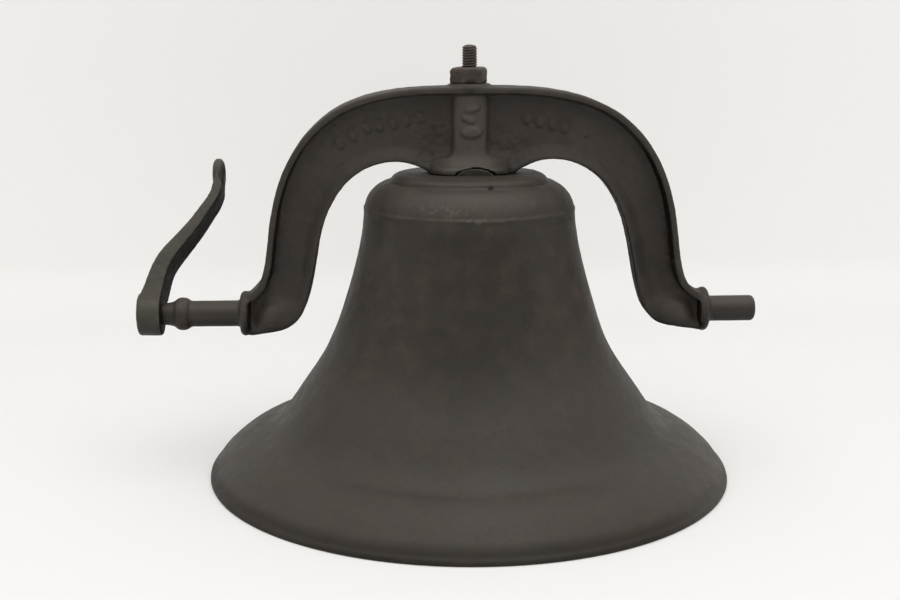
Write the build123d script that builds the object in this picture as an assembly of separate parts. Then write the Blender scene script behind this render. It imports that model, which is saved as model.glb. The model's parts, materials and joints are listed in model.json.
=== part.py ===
from build123d import *
from math import sqrt
import os

# Cast-iron yard dinner bell: bell, yoke with cast trunnions, rope crank and clapper.
# Millimetres. The origin is the centre of the bell's mouth, on the plane of its rim.
# +Z points up through the crown, and X runs along the trunnions with the crank on -X.

# ---- driving dimensions -------------------------------------------------------------
MOUTH_DIAMETER = 483.0          # 19 inch bell
CROWN_TOP = 278.5               # flat top of the bell, where the yoke stands
CROWN_UNDER = 266.5             # roof of the inside
LIP_HEIGHT = 5.6                # upright edge of the rim
WAIST_FOOT = (190.6, 40.0)      # (radius, height) where the flared skirt meets the waist
WAIST_TOP = (96.0, 243.7)       # where the waist meets the shoulder
SHOULDER_START = (95.2, 249.5)
SHOULDER_END = (73.4, 271.8)
RIM_THICKNESS = 12.5            # flat width of the rim
WALL = 8.0                      # waist wall
SKIRT_BULGE = 5.9               # how far the flare rises above a straight cone

TRUNNION_HEIGHT = 150.0         # height of the swing axis above the rim
YOKE_SHIFT = 3.8                # the arch and trunnions were cast this far to the bolt's right
TRUNNION_DIAMETER = 24.0
COLLAR_DIAMETER = 41.5
COLLAR_WIDTH = 8.5
COLLAR_BULGE = 3.2              # how far the collar's round edge rises above its sides
LEFT_COLLAR = 205.3             # this and what follows along X is from the arch's middle
RIGHT_COLLAR = 210.4
ELBOW_DIAMETER = 33.0           # round swelling of each leg on the trunnion axis
ELBOW_MIDDLE = 180.0            # centre of its round inner end
ELBOW_GAP = 9.0                 # hollow between the swelling and the collar
RIGHT_JOURNAL_END = 261.0       # without its end chamfer
JOURNAL_CHAMFER = 2.2
LEFT_JOURNAL_END = 261.0
RING_DIAMETER = 30.5            # cast ring that keeps the left journal in its bearing
RING_END = 272.5
RING_BULGE = 1.2
NECK_DIAMETER = 20.4
NECK_START = 281.0
HUB_FACE = 285.0                # inner face of the crank hub
TANG_SIZE = 14.0                # square end that turns the crank
TANG_LENGTH = 11.5

YOKE_TOP = 356.5
NUT_SEAT_TOP = 359.2
NUT_SEAT_BASE_DIAMETER = 43.0
NUT_SEAT_DIAMETER = 36.0
WEB_THICKNESS = 11.0
FLANGE_DEPTH = 40.0             # front to back
FLANGE_THICKNESS = 6.5
EDGE_BEAD_DEPTH = 25.0
EDGE_BEAD_WIDTH = 8.0
BOSS_DIAMETER = 31.0            # upright column that holds the bolt
BOSS_FOOT_DIAMETER = 50.0
BOSS_FLARE_HEIGHT = 24.0
FOOT_LENGTH = 76.0
FOOT_DEPTH = 50.0
FOOT_THICKNESS = 5.5
FOOT_CORNER = 20.0
RIDGE_WIDTH = 34.5              # locating ridge on the crown
RIDGE_HEIGHT = 6.0
RIDGE_SHIFT = 4.0               # it was cast this far to the bolt's right
RIDGE_SET_BACK = 1.5            # its ends stand this far inside the front of the foot
RIDGE_CLEARANCE = 0.3           # the yoke's notch all round the ridge

BOLT_DIAMETER = 12.7            # half-inch stud of the clapper hanger
BOLT_HOLE_DIAMETER = 13.5
BOLT_TOP = 392.9
NUT_ACROSS_FLATS = 27.0
NUT_HEIGHT = 14.1
NUT_CORNER = 2.0
NUT_CHAMFER = 1.2
NUT_TURN = -17.0                # degrees, as the nut was left

HUB_DIAMETER = 39.4
HUB_THICKNESS = 21.8
ARM_LENGTH = 139.0              # hub centre to rope eye
ARM_LEAN = 30.0                 # degrees behind upright
ARM_THICK_LOW = 20.5            # at the hub
ARM_THICK_HIGH = 9.0
EYE_THICKNESS = 10.5
EYE_DIAMETER = 29.0
EYE_ROUND = 4.5                 # rounding of the eye's rims
EYE_HOLE_DIAMETER = 15.0
ARM_SET_BACK = 2.4              # the arm is this much narrower than its hub
EYE_SET_BACK = 1.0              # and this much narrower than its eye
HUB_POCKET_DIAMETER = 27.0
HUB_POCKET_DEPTH = 8.5

PIN_HEIGHT = 226.0              # height of the clapper's swing axis
PIN_DIAMETER = 9.5
CLAPPER_LENGTH = 187.5          # pin to the middle of the ball
BALL_DIAMETER = 62.0
SHANK_DIAMETER = 12.0
EAR_GAP = 12.0                  # fork of the hanger
EAR_THICKNESS = 8.0
EAR_WIDTH = 25.0

# ---- clearances ---------------------------------------------------------------------
RUNNING = 0.05                  # radial, clapper eye on its pin
SLIP = 0.1                      # radial, pieces that only slip together
PRESS = 0.02                    # radial interference of the ball on its shank
SIDE_PLAY = 0.5                 # each side of the clapper eye in the fork

CUT_PAST = 5.0                  # how far a cutting shape runs past what it cuts

MOUTH_RADIUS = MOUTH_DIAMETER / 2
TRUNNION_RADIUS = TRUNNION_DIAMETER / 2
HUB_OUTER_FACE = HUB_FACE + HUB_THICKNESS
HUB_MIDDLE = HUB_FACE + HUB_THICKNESS / 2


def revolved_about_z(outline):
    """Turn a closed outline, drawn as (radius, height), about the Z axis."""
    return revolve(Plane.XZ * make_face(outline), Axis.Z)


def revolved_about_x(outline):
    """Turn a closed outline, drawn as (x, radius), about the trunnion axis."""
    axis = Axis((0, 0, TRUNNION_HEIGHT), (1, 0, 0))
    return revolve(Plane.XZ * Pos(0, TRUNNION_HEIGHT) * make_face(outline), axis)


def rod(start, end, diameter):
    """A round bar between two points on a line along X, Y or Z."""
    direction = Vector(*end) - Vector(*start)
    plane = Plane(origin=start, z_dir=direction)
    return extrude(plane * Circle(diameter / 2), direction.length)


def bulged_arc(start, end, bulge):
    """An arc from start to end that rises by bulge to the left of the chord."""
    along_x = end[0] - start[0]
    along_y = end[1] - start[1]
    length = sqrt(along_x ** 2 + along_y ** 2)
    middle_x = (start[0] + end[0]) / 2 - bulge * along_y / length
    middle_y = (start[1] + end[1]) / 2 + bulge * along_x / length
    return ThreePointArc(start, (middle_x, middle_y), end)


# ---- bell ---------------------------------------------------------------------------
def bell_outside():
    """Outer line of the bell, from the rim's outer edge to the bolt hole."""
    lip_start = (MOUTH_RADIUS, 0)
    lip_mid = (MOUTH_RADIUS, LIP_HEIGHT / 3)
    lip_end = (MOUTH_RADIUS - 2.7, LIP_HEIGHT)
    waist = [WAIST_FOOT, (160.1, 73), (129.9, 120), (114.7, 160), (102, 205), WAIST_TOP]
    step = (SHOULDER_START[0] + 1.0, SHOULDER_START[1] - 1.2)
    disc_edge = (SHOULDER_END[0] - 2.0, SHOULDER_END[1] + 1.3)
    disc_top = (62.0, CROWN_TOP)
    return [
        Line(lip_start, lip_mid),
        bulged_arc(lip_mid, lip_end, -0.6),
        bulged_arc(lip_end, WAIST_FOOT, -SKIRT_BULGE),
        Spline(waist, tangents=[(-0.9, 0.43), (-0.06, 1)]),
        Line(WAIST_TOP, step),
        Line(step, SHOULDER_START),
        bulged_arc(SHOULDER_START, SHOULDER_END, -4.8),
        Line(SHOULDER_END, disc_edge),
        bulged_arc(disc_edge, disc_top, -1.6),
        Line(disc_top, (BOLT_HOLE_DIAMETER / 2, CROWN_TOP)),
    ]


def bell_inside():
    """Inner line of the bell, from the bolt hole back down to the rim."""
    roof_edge = (62.0, CROWN_UNDER)
    shoulder = (WAIST_TOP[0] - WALL - 0.5, WAIST_TOP[1] + 1)
    bow_top = (184.5, 33.5)
    rim_inner = (MOUTH_RADIUS - RIM_THICKNESS, 0)
    waist = [shoulder, (94, 204), (106.9, 157.5), (122.6, 115.5), (153.5, 66.5), bow_top]
    hole_edge = BOLT_HOLE_DIAMETER / 2
    return [
        Line((hole_edge, CROWN_TOP), (hole_edge, CROWN_UNDER)),
        Line((hole_edge, CROWN_UNDER), roof_edge),
        bulged_arc(roof_edge, shoulder, 6.0),
        Spline(waist, tangents=[(0.06, -1), (0.87, -0.5)]),
        bulged_arc(bow_top, rim_inner, 4.5),
        Line(rim_inner, (MOUTH_RADIUS, 0)),
    ]


def ridge(extra=0.0):
    """The cross-ridge on the crown that keeps the yoke from turning."""
    half_width = RIDGE_WIDTH / 2 + extra
    rise = RIDGE_HEIGHT + extra
    base = CROWN_TOP - 2            # sunk into the crown, so the two become one
    outline = [
        Line((-half_width, base), (half_width, base)),
        Line((half_width, base), (half_width, CROWN_TOP)),
        bulged_arc((half_width, CROWN_TOP), (-half_width, CROWN_TOP), -rise),
        Line((-half_width, CROWN_TOP), (-half_width, base)),
    ]
    depth = FOOT_DEPTH / 2 - RIDGE_SET_BACK + 10 * extra
    return Pos(RIDGE_SHIFT, 0, 0) * extrude(Plane.XZ * make_face(outline), depth, both=True)


def bolt_hole():
    low = (0, 0, CROWN_UNDER - CUT_PAST)
    high = (0, 0, NUT_SEAT_TOP + CUT_PAST)
    return rod(low, high, BOLT_HOLE_DIAMETER)


def make_bell():
    shell = revolved_about_z(bell_outside() + bell_inside())
    return shell + ridge() - bolt_hole()


# ---- yoke ---------------------------------------------------------------------------
ARCH_OUTER = [(0, YOKE_TOP), (72, 353.3), (124, 336.7), (157.8, 305.7), (174.7, 273.6),
              (182.9, 244), (186.4, 221), (189.4, 199), (192, 188), (197, 177), (204.5, 170.3),
              (211, 167.2)]
ARCH_INNER = [(211, 131.7), (180, 136.8), (167, 142.2), (158.3, 153), (152.4, 168.5),
              (145.2, 202.6), (137.3, 236.3), (127.7, 257.2), (112.6, 276.1), (93.5, 287.3),
              (72.5, 291.6), (54, 288.8), (45, 285), (38, 280.4), (FOOT_LENGTH / 2 - 2, CROWN_TOP)]
ARCH_FLOOR = 100.0              # level well below the yoke, where cutting shapes are closed
LEFT_BAY_LOSS = 2.0             # the left bay was cast this much smaller all round
TRIM_LENGTH = 15.0              # the cone that trims a leg's end starts this far from its collar
TRIM_RADIUS = 56.0              # and with this radius


def shifted(line, distance):
    """A curve beside line, moved to its left by distance."""
    steps = 20
    points = []
    for step in range(steps + 1):
        place = line @ (step / steps)
        along = line % (step / steps)
        points.append((place.X - distance * along.Y, place.Y + distance * along.X))
    return Spline(points, tangents=[line % 0, line % 1])


def outer_arch(inset=0.0):
    """Everything under the yoke's outer line, or under a line inset from it."""
    right = Spline(ARCH_OUTER, tangents=[(1, 0), (0.93, -0.36)])
    if inset:
        right = shifted(right, -inset)
    end = right @ 1
    half = [
        right,
        Line(end, (end.X, ARCH_FLOOR)),
        Line((end.X, ARCH_FLOOR), (0, ARCH_FLOOR)),
        Line((0, ARCH_FLOOR), right @ 0),
    ]
    face = make_face(half)
    return face + mirror(face, Plane.YZ)


def right_bay(growth=0.0):
    """The open space between the right leg and the bell."""
    inner = Spline(ARCH_INNER)
    if growth:
        inner = shifted(inner, -growth)
    start = inner @ 0
    end = inner @ 1
    far = start.X + 20
    outline = [
        inner,
        Line(end, (end.X, ARCH_FLOOR)),
        Line((end.X, ARCH_FLOOR), (far, ARCH_FLOOR)),
        Line((far, ARCH_FLOOR), (far, start.Y)),
        Line((far, start.Y), start),
    ]
    return make_face(outline)


def both_bays(growth=0.0):
    return [right_bay(growth), mirror(right_bay(growth - LEFT_BAY_LOSS), Plane.YZ)]


def below(level, width):
    height = level - ARCH_FLOOR + CUT_PAST
    return Pos(0, level - height / 2) * Rectangle(width, height)


def slab(face, depth):
    """A flat face in the plane of the arch, thickened equally to front and back."""
    return extrude(Plane.XZ * face, depth / 2, both=True)


def recess(face, floor_depth):
    """A cut into both sides of the casting that leaves floor_depth between its floors."""
    tool = extrude(Plane.XZ * face, FLANGE_DEPTH)
    front = Pos(0, -floor_depth / 2, 0) * tool
    back = Pos(0, floor_depth / 2 + FLANGE_DEPTH, 0) * tool
    return front, back


def elbow(side, collar):
    """The round swelling at the end of a leg; side is 1 for right, -1 for left."""
    middle = (side * ELBOW_MIDDLE, 0, TRUNNION_HEIGHT)
    end = (side * (collar - ELBOW_GAP), 0, TRUNNION_HEIGHT)
    return Pos(*middle) * Sphere(ELBOW_DIAMETER / 2) + rod(middle, end, ELBOW_DIAMETER)


def leg_trimming(side, collar):
    """What is cut off a leg's end, so that its flange slopes down to the collar."""
    rim = COLLAR_DIAMETER / 2 - COLLAR_BULGE
    far = FLANGE_DEPTH * 2
    outline = Polyline(
        (collar - TRIM_LENGTH, TRIM_RADIUS), (collar, COLLAR_DIAMETER / 2 - 1), (collar, rim),
        (collar + COLLAR_WIDTH, rim), (collar + COLLAR_WIDTH, far), (collar - TRIM_LENGTH, far),
        close=True)
    trimming = revolved_about_x(outline)
    return trimming if side > 0 else mirror(trimming, Plane.YZ)


def arch_casting():
    """One thick arch, cut back to its web, its outer flange and the edge round each bay."""
    outline = outer_arch() - both_bays() - below(CROWN_TOP, FOOT_LENGTH + CUT_PAST)
    thick = slab(outline, FLANGE_DEPTH)
    casting = thick
    panel = outer_arch(FLANGE_THICKNESS) - both_bays(EDGE_BEAD_WIDTH)
    panel -= below(CROWN_TOP + FOOT_THICKNESS - 2, FOOT_LENGTH + 2 * CUT_PAST)
    for cut in recess(panel, WEB_THICKNESS):
        casting -= cut
    for face in both_bays(EDGE_BEAD_WIDTH + 1):
        for cut in recess(face, EDGE_BEAD_DEPTH):
            casting -= cut
    for side, collar in ((1, RIGHT_COLLAR), (-1, LEFT_COLLAR)):
        casting += elbow(side, collar) & thick
        casting -= leg_trimming(side, collar)
    return casting


def boss_column():
    """The upright column round the bolt, flared at its foot, with the raised nut seat."""
    half = BOSS_DIAMETER / 2
    flare_top = CROWN_TOP + BOSS_FLARE_HEIGHT
    foot_top = CROWN_TOP + FOOT_THICKNESS
    seat_base = NUT_SEAT_BASE_DIAMETER / 2
    seat_low = YOKE_TOP - 2
    outline = [
        Line((0, CROWN_TOP), (BOSS_FOOT_DIAMETER / 2, CROWN_TOP)),
        Line((BOSS_FOOT_DIAMETER / 2, CROWN_TOP), (BOSS_FOOT_DIAMETER / 2, foot_top)),
        bulged_arc((BOSS_FOOT_DIAMETER / 2, foot_top), (half, flare_top), 3.4),
        Line((half, flare_top), (half, seat_low)),
        Line((half, seat_low), (seat_base, seat_low)),
        Line((seat_base, seat_low), (seat_base, YOKE_TOP)),
        Line((seat_base, YOKE_TOP), (NUT_SEAT_DIAMETER / 2, NUT_SEAT_TOP)),
        Line((NUT_SEAT_DIAMETER / 2, NUT_SEAT_TOP), (0, NUT_SEAT_TOP)),
        Line((0, NUT_SEAT_TOP), (0, CROWN_TOP)),
    ]
    return revolved_about_z(outline)


def foot_plate():
    plate = RectangleRounded(FOOT_LENGTH, FOOT_DEPTH, FOOT_CORNER)
    return extrude(Pos(0, 0, CROWN_TOP) * plate, FOOT_THICKNESS)


def collar_outline(side, inner):
    """Outline from the axis out to the journal; side is 1 for right, -1 for left."""
    start = side * inner
    end = side * (inner + COLLAR_WIDTH)
    height = COLLAR_DIAMETER / 2 - COLLAR_BULGE
    return [
        Line((start, 0), (start, height)),
        bulged_arc((start, height), (end, height), side * COLLAR_BULGE),
        Line((end, height), (end, TRUNNION_RADIUS)),
    ]


def right_trunnion():
    collar_end = RIGHT_COLLAR + COLLAR_WIDTH
    tip = RIGHT_JOURNAL_END + JOURNAL_CHAMFER
    tip_radius = TRUNNION_RADIUS - JOURNAL_CHAMFER
    outline = collar_outline(1, RIGHT_COLLAR) + [
        Line((collar_end, TRUNNION_RADIUS), (RIGHT_JOURNAL_END, TRUNNION_RADIUS)),
        Line((RIGHT_JOURNAL_END, TRUNNION_RADIUS), (tip, tip_radius)),
        Line((tip, tip_radius), (tip, 0)),
        Line((tip, 0), (RIGHT_COLLAR, 0)),
    ]
    return revolved_about_x(outline)


def left_trunnion():
    collar_end = -LEFT_COLLAR - COLLAR_WIDTH
    ring = RING_DIAMETER / 2 - RING_BULGE
    neck = NECK_DIAMETER / 2
    outline = collar_outline(-1, LEFT_COLLAR) + [
        Line((collar_end, TRUNNION_RADIUS), (-LEFT_JOURNAL_END, TRUNNION_RADIUS)),
        Line((-LEFT_JOURNAL_END, TRUNNION_RADIUS), (-LEFT_JOURNAL_END, ring)),
        bulged_arc((-LEFT_JOURNAL_END, ring), (-RING_END, ring), -RING_BULGE),
        Line((-RING_END, ring), (-RING_END, TRUNNION_RADIUS)),
        Line((-RING_END, TRUNNION_RADIUS), (-NECK_START, neck)),
        Line((-NECK_START, neck), (-HUB_FACE, neck)),
        Line((-HUB_FACE, neck), (-HUB_FACE, 0)),
        Line((-HUB_FACE, 0), (-LEFT_COLLAR, 0)),
    ]
    return revolved_about_x(outline)


def square_bar(start_x, length, size):
    """A square bar on the trunnion axis, running outward from start_x on the crank side."""
    return Pos(-start_x - length / 2, 0, TRUNNION_HEIGHT) * Box(length, size, size)


SCREW_DIAMETER = 8.0
SCREW_LENGTH = 24.0             # from under the head
SCREW_ROOM = 1.0                # left free beyond the screw's end


def crank_end():
    """Left trunnion with the square tang that carries the crank, tapped for its screw."""
    tang_end = HUB_FACE + TANG_LENGTH
    thread_start = (-tang_end - CUT_PAST, 0, TRUNNION_HEIGHT)
    thread_end = (-tang_end + SCREW_LENGTH + SCREW_ROOM, 0, TRUNNION_HEIGHT)
    casting = left_trunnion() + square_bar(HUB_FACE, TANG_LENGTH, TANG_SIZE)
    return casting - rod(thread_start, thread_end, SCREW_DIAMETER + 2 * RUNNING)


def make_yoke():
    shift = Pos(YOKE_SHIFT, 0, 0)
    yoke = shift * (arch_casting() + right_trunnion()) + boss_column() + foot_plate()
    yoke = yoke - ridge(RIDGE_CLEARANCE) - bolt_hole()
    return yoke + shift * crank_end()


def make_yoke_nut():
    nut = extrude(Rectangle(NUT_ACROSS_FLATS, NUT_ACROSS_FLATS), NUT_HEIGHT)
    nut = fillet(nut.edges().filter_by(Axis.Z), NUT_CORNER)
    nut = chamfer(nut.faces().sort_by(Axis.Z)[-1].edges(), NUT_CHAMFER)
    hole = extrude(Circle(BOLT_DIAMETER / 2 + RUNNING), NUT_HEIGHT)
    return Pos(0, 0, NUT_SEAT_TOP) * Rot(0, 0, NUT_TURN) * (nut - hole)


# ---- crank --------------------------------------------------------------------------
ARM_MIDDLE = [(-HUB_MIDDLE, 0), (-291.8, 22), (-286.4, 42), (-274.1, 62), (-258.8, 82),
              (-246.1, 102), (-237.8, 122)]      # (x, distance along the arm)
ARM_TAPER = 1.7                 # how early the arm thins out above its hub
HUB_CHAMFER = 1.5
NECK_ROOM = 0.5                 # the arm's root is cleared this far round the neck


def arm_side(middle, side):
    """One side of the arm's S-bend, as points (x, distance along the arm)."""
    steps = 12
    points = []
    for step in range(steps + 1):
        share = step / steps
        place = middle @ share
        along = middle % share
        extra = (ARM_THICK_LOW - ARM_THICK_HIGH) * (1 - share) ** ARM_TAPER
        half = side * (ARM_THICK_HIGH + extra) / 2
        points.append((place.X + half * along.Y, place.Y - half * along.X))
    return points


def arm_strip():
    """The bent strip seen from the front, much deeper than the arm."""
    middle = Spline(ARM_MIDDLE, tangents=[(0, 1), (0.15, 1)])
    left = arm_side(middle, -1)
    right = arm_side(middle, 1)
    end_left = (left[-1][0], ARM_LENGTH)
    end_right = (right[-1][0], ARM_LENGTH)
    outline = [
        Spline(left),
        Line(left[-1], end_left),
        Line(end_left, end_right),
        Line(end_right, right[-1]),
        Spline(right),
        Line(right[0], left[0]),
    ]
    return slab(make_face(outline), HUB_DIAMETER)


def arm_side_view():
    """The arm seen along the trunnions: hub end and eye end joined by tangent edges."""
    low = (HUB_DIAMETER - ARM_SET_BACK) / 2
    high = (EYE_DIAMETER - EYE_SET_BACK) / 2
    taper = (low - high) / ARM_LENGTH
    rise = sqrt(1 - taper ** 2)
    hub_side = (low * rise, low * taper)
    eye_side = (high * rise, ARM_LENGTH + high * taper)
    outline = [
        Line(hub_side, eye_side),
        ThreePointArc(eye_side, (0, ARM_LENGTH + high), (-eye_side[0], eye_side[1])),
        Line((-eye_side[0], eye_side[1]), (-hub_side[0], hub_side[1])),
        ThreePointArc((-hub_side[0], hub_side[1]), (0, -low), hub_side),
    ]
    plane = Plane(origin=(-HUB_OUTER_FACE, 0, 0), x_dir=(0, 1, 0), z_dir=(1, 0, 0))
    return extrude(plane * make_face(outline), HUB_OUTER_FACE)


def make_crank_arm():
    """Drawn upright with its hub at height zero, then leaned back and lifted into place."""
    eye_middle = ARM_MIDDLE[-1][0]
    eye_far = eye_middle - EYE_THICKNESS / 2
    eye_near = eye_middle + EYE_THICKNESS / 2
    hub = rod((-HUB_OUTER_FACE, 0, 0), (-HUB_FACE, 0, 0), HUB_DIAMETER)
    eye = rod((eye_far, 0, ARM_LENGTH), (eye_near, 0, ARM_LENGTH), EYE_DIAMETER)
    eye = fillet(eye.edges().filter_by(GeomType.CIRCLE), EYE_ROUND)
    arm = arm_strip() & arm_side_view()
    hub = chamfer(hub.edges().filter_by(GeomType.CIRCLE), HUB_CHAMFER)
    crank = hub + arm + eye
    hole_start = (eye_far - CUT_PAST, 0, ARM_LENGTH)
    hole_end = (eye_near + CUT_PAST, 0, ARM_LENGTH)
    crank -= rod(hole_start, hole_end, EYE_HOLE_DIAMETER)
    pocket_floor = -HUB_OUTER_FACE + HUB_POCKET_DEPTH
    crank -= rod((-HUB_OUTER_FACE - CUT_PAST, 0, 0), (pocket_floor, 0, 0), HUB_POCKET_DIAMETER)
    neck_face = (-HUB_FACE + CUT_PAST, 0, 0)
    crank -= rod((-HUB_FACE, 0, 0), neck_face, NECK_DIAMETER + 2 * NECK_ROOM)
    crank = Pos(YOKE_SHIFT, 0, TRUNNION_HEIGHT) * Rot(-ARM_LEAN, 0, 0) * crank
    tang_room = square_bar(HUB_FACE - 1, HUB_THICKNESS, TANG_SIZE + 2 * SLIP)
    return crank - Pos(YOKE_SHIFT, 0, 0) * tang_room


WASHER_THICKNESS = 2.0
WASHER_DIAMETER = 25.0
SCREW_HEAD_HEIGHT = 6.0
SCREW_HEAD_SIZE = 13.0
SCREW_HEAD_TURN = 20.0          # degrees, as the screw was left


def washer(outer, hole, thickness):
    return extrude(Circle(outer / 2) - Circle(hole / 2), thickness)


def make_crank_washer():
    face = -HUB_OUTER_FACE + HUB_POCKET_DEPTH
    disc = washer(WASHER_DIAMETER, SCREW_DIAMETER + 1, WASHER_THICKNESS)
    return Pos(face + YOKE_SHIFT, 0, TRUNNION_HEIGHT) * Rot(0, -90, 0) * disc


def make_crank_screw():
    head_face = YOKE_SHIFT - HUB_OUTER_FACE + HUB_POCKET_DEPTH - WASHER_THICKNESS
    head = Rot(SCREW_HEAD_TURN, 0, 0) * Box(SCREW_HEAD_HEIGHT, SCREW_HEAD_SIZE, SCREW_HEAD_SIZE)
    head = Pos(head_face - SCREW_HEAD_HEIGHT / 2, 0, TRUNNION_HEIGHT) * head
    start = (head_face, 0, TRUNNION_HEIGHT)
    end = (head_face + SCREW_LENGTH, 0, TRUNNION_HEIGHT)
    return head + rod(start, end, SCREW_DIAMETER)


# ---- clapper hanger -----------------------------------------------------------------
CROWN_WASHER_THICKNESS = 3.0
CROWN_WASHER_DIAMETER = 46.0
HANGER_SHOULDER = CROWN_UNDER - CROWN_WASHER_THICKNESS
HANGER_BLOCK = 14.0             # solid height above the fork
STUD_END_ROUND = 3.0
PIN_HOLE = PIN_DIAMETER / 2 + SLIP
FORK_HALF = EAR_GAP / 2 + EAR_THICKNESS


def make_crown_washer():
    disc = washer(CROWN_WASHER_DIAMETER, BOLT_HOLE_DIAMETER, CROWN_WASHER_THICKNESS)
    return Pos(0, 0, HANGER_SHOULDER) * disc


def make_clapper_hanger():
    """Threaded stud with a fork forged on its lower end."""
    stud = rod((0, 0, HANGER_SHOULDER - 1), (0, 0, BOLT_TOP), BOLT_DIAMETER)
    stud = fillet(stud.edges().sort_by(Axis.Z)[-1], STUD_END_ROUND)
    block_low = HANGER_SHOULDER - HANGER_BLOCK
    side = [
        Line((-EAR_WIDTH / 2, HANGER_SHOULDER), (EAR_WIDTH / 2, HANGER_SHOULDER)),
        Line((EAR_WIDTH / 2, HANGER_SHOULDER), (EAR_WIDTH / 2, PIN_HEIGHT)),
        ThreePointArc((EAR_WIDTH / 2, PIN_HEIGHT), (0, PIN_HEIGHT - EAR_WIDTH / 2),
                      (-EAR_WIDTH / 2, PIN_HEIGHT)),
        Line((-EAR_WIDTH / 2, PIN_HEIGHT), (-EAR_WIDTH / 2, HANGER_SHOULDER)),
    ]
    fork = extrude(Plane.YZ * make_face(side), FORK_HALF, both=True)
    gap_height = block_low - (PIN_HEIGHT - EAR_WIDTH)
    gap = Box(EAR_GAP, EAR_WIDTH + CUT_PAST, gap_height)
    gap = Pos(0, 0, block_low - gap_height / 2) * gap
    reach = FORK_HALF + CUT_PAST
    pin_hole = rod((-reach, 0, PIN_HEIGHT), (reach, 0, PIN_HEIGHT), 2 * PIN_HOLE)
    return stud + fork - gap - pin_hole


PIN_HEAD_DIAMETER = 16.0
PIN_HEAD_HEIGHT = 4.5
PIN_HEAD_CHAMFER = 1.5
PIN_TIP_CHAMFER = 0.8
PIN_WASHER_THICKNESS = 2.0
PIN_WASHER_DIAMETER = 19.0
COTTER_DIAMETER = 2.8
COTTER_ROOM = 0.4               # loose fit in its hole, and the gap beside the washer
COTTER_PLACE = FORK_HALF + PIN_WASHER_THICKNESS + COTTER_DIAMETER / 2 + COTTER_ROOM
PIN_TIP = COTTER_PLACE + 5.0


def make_clapper_pin():
    pin = rod((-FORK_HALF, 0, PIN_HEIGHT), (PIN_TIP, 0, PIN_HEIGHT), PIN_DIAMETER)
    pin = chamfer(pin.edges().sort_by(Axis.X)[-1], PIN_TIP_CHAMFER)
    head = rod((-FORK_HALF - PIN_HEAD_HEIGHT, 0, PIN_HEIGHT), (-FORK_HALF, 0, PIN_HEIGHT),
               PIN_HEAD_DIAMETER)
    head = chamfer(head.edges().sort_by(Axis.X)[0], PIN_HEAD_CHAMFER)
    low = (COTTER_PLACE, 0, PIN_HEIGHT - PIN_DIAMETER)
    high = (COTTER_PLACE, 0, PIN_HEIGHT + PIN_DIAMETER)
    return pin + head - rod(low, high, COTTER_DIAMETER + COTTER_ROOM)


def make_clapper_pin_washer():
    disc = washer(PIN_WASHER_DIAMETER, PIN_DIAMETER + 4 * SLIP, PIN_WASHER_THICKNESS)
    return Pos(FORK_HALF, 0, PIN_HEIGHT) * Rot(0, 90, 0) * disc


def make_clapper_cotter():
    """Split pin bent from one wire: a loop above the pin and two spread legs below it."""
    wire_radius = COTTER_DIAMETER / 4 - 0.02
    half = COTTER_DIAMETER / 4
    above = PIN_DIAMETER / 2 + 0.8
    below = -PIN_DIAMETER / 2 - 1.0
    loop_width = 2.5
    loop_height = 5.6
    bend_radius = 3.0
    bend_angle = 55
    tail = 5.0
    left_bend = JernArc((-half, below), (0, -1), bend_radius, -bend_angle)
    right_bend = JernArc((half, below), (0, -1), bend_radius, bend_angle)
    loop = [(-half, above), (-loop_width, above + 0.55 * loop_height), (0, above + loop_height),
            (loop_width, above + 0.55 * loop_height), (half, above)]
    path = Wire([
        Line(left_bend @ 1, left_bend @ 1 + (left_bend % 1) * tail).edge(),
        left_bend.edge(),
        Line((-half, below), (-half, above)).edge(),
        Spline(loop, tangents=[(0, 1), (0, -1)]).edge(),
        Line((half, above), (half, below)).edge(),
        right_bend.edge(),
        Line(right_bend @ 1, right_bend @ 1 + (right_bend % 1) * tail).edge(),
    ])
    path = Plane(origin=(COTTER_PLACE, 0, PIN_HEIGHT), x_dir=(0, 1, 0), z_dir=(1, 0, 0)) * path
    section = Plane(origin=path @ 0, z_dir=path % 0) * Circle(wire_radius)
    return sweep(section, path=path)


# ---- clapper ------------------------------------------------------------------------
BALL_HEIGHT = PIN_HEIGHT - CLAPPER_LENGTH
SHANK_END = BALL_HEIGHT - BALL_DIAMETER / 2 + 1.5
SHANK_NECK_LOW = PIN_HEIGHT - 34    # where the flat neck has become the round bar
BALL_COLLAR_DIAMETER = SHANK_DIAMETER + 10
BALL_COLLAR_RISE = 5.0


def make_clapper_shank():
    """Wrought bar with a flat eye above; its lower end goes through the ball."""
    thickness = EAR_GAP - 2 * SIDE_PLAY
    eye = rod((-thickness / 2, 0, PIN_HEIGHT), (thickness / 2, 0, PIN_HEIGHT), EAR_WIDTH + 1)
    neck = loft([
        Pos(0, 0, PIN_HEIGHT - 7) * Rectangle(thickness, 20),
        Pos(0, 0, SHANK_NECK_LOW) * Rectangle(thickness - 1, SHANK_DIAMETER),
    ])
    bar = rod((0, 0, SHANK_END), (0, 0, SHANK_NECK_LOW + SHANK_DIAMETER / 2), SHANK_DIAMETER)
    start = (-EAR_GAP, 0, PIN_HEIGHT)
    end = (EAR_GAP, 0, PIN_HEIGHT)
    return eye + neck + bar - rod(start, end, PIN_DIAMETER + 2 * RUNNING)


def make_clapper_ball():
    ball = Pos(0, 0, BALL_HEIGHT) * Sphere(BALL_DIAMETER / 2)
    ball_top = BALL_HEIGHT + BALL_DIAMETER / 2
    collar_low = (0, 0, ball_top - BALL_COLLAR_RISE)
    collar_high = (0, 0, ball_top + BALL_COLLAR_RISE)
    collar = rod(collar_low, collar_high, BALL_COLLAR_DIAMETER)
    hole_low = (0, 0, BALL_HEIGHT - BALL_DIAMETER)
    return ball + collar - rod(hole_low, (0, 0, SHANK_NECK_LOW), SHANK_DIAMETER - 2 * PRESS)


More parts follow.
